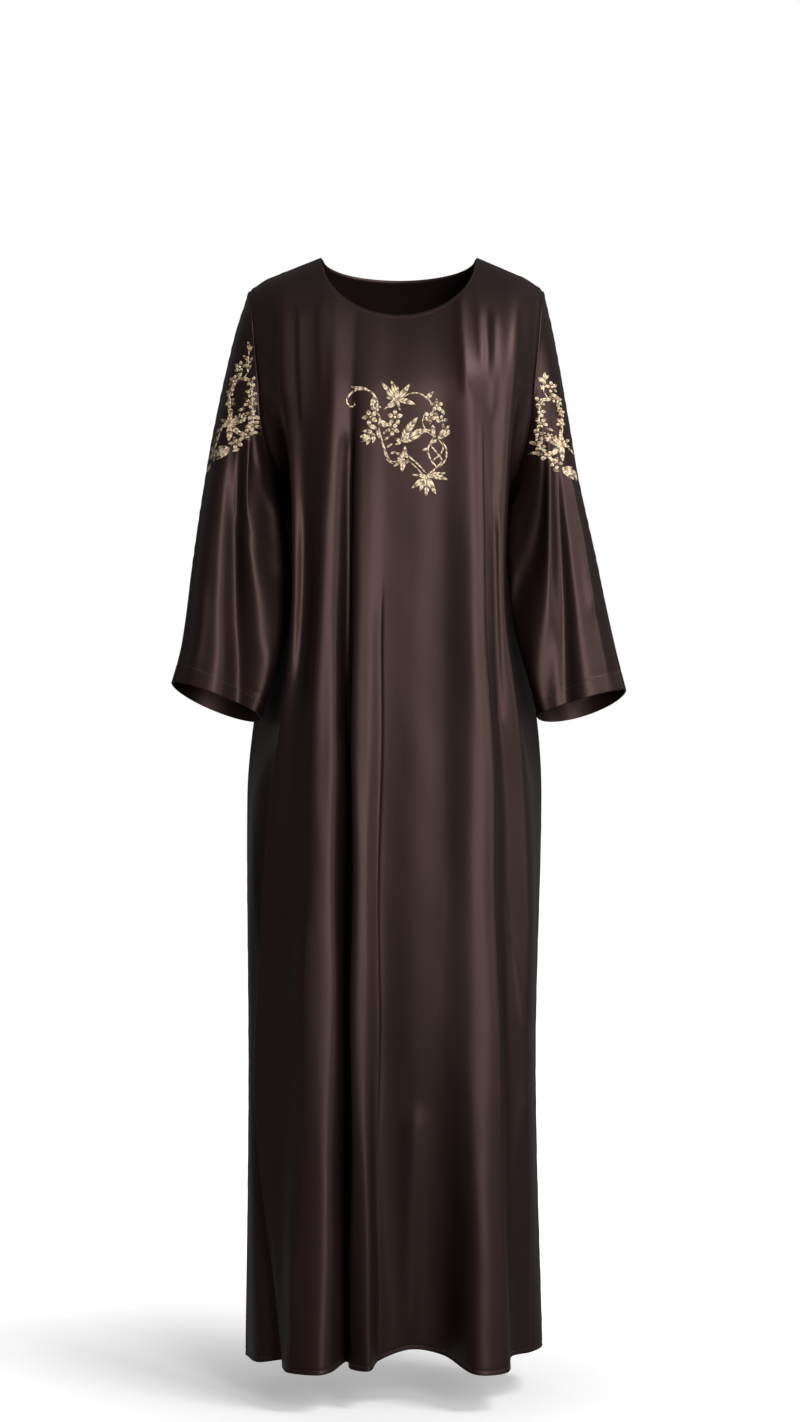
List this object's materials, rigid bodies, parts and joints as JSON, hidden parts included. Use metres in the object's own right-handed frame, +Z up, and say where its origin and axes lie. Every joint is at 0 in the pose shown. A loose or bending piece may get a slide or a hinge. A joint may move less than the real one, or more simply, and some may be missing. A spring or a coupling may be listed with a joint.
{
  "type": "floor-length pullover abaya, worn",
  "caption": "Loose floor-length pullover robe of dark brown satin with wide seamed sleeves, hanging in soft folds, with gold leaf and flower embroidery on chest and upper sleeves.",
  "frame": {"origin": "midway between the two neck points of the shoulder seams, at their height, where the shoulders carry the garment", "axes": "+Z up along the garment's length, -Y the way the wearer faces (the front), +X the wearer's left"},
  "size_m": [0.5859, 0.3041, 1.433],
  "materials": {
    "cloth": "smooth dark brown satin with a soft sheen",
    "thread": "gold and cream embroidery thread, satin stitch",
    "sewing": "matching dark brown sewing thread"
  },
  "bodies": {
    "root": {"front_panel": "cloth", "back_panel": "cloth", "right_sleeve_front": "cloth", "right_sleeve_back": "cloth", "left_sleeve_front": "cloth", "left_sleeve_back": "cloth"}
  },
  "joints": []
}
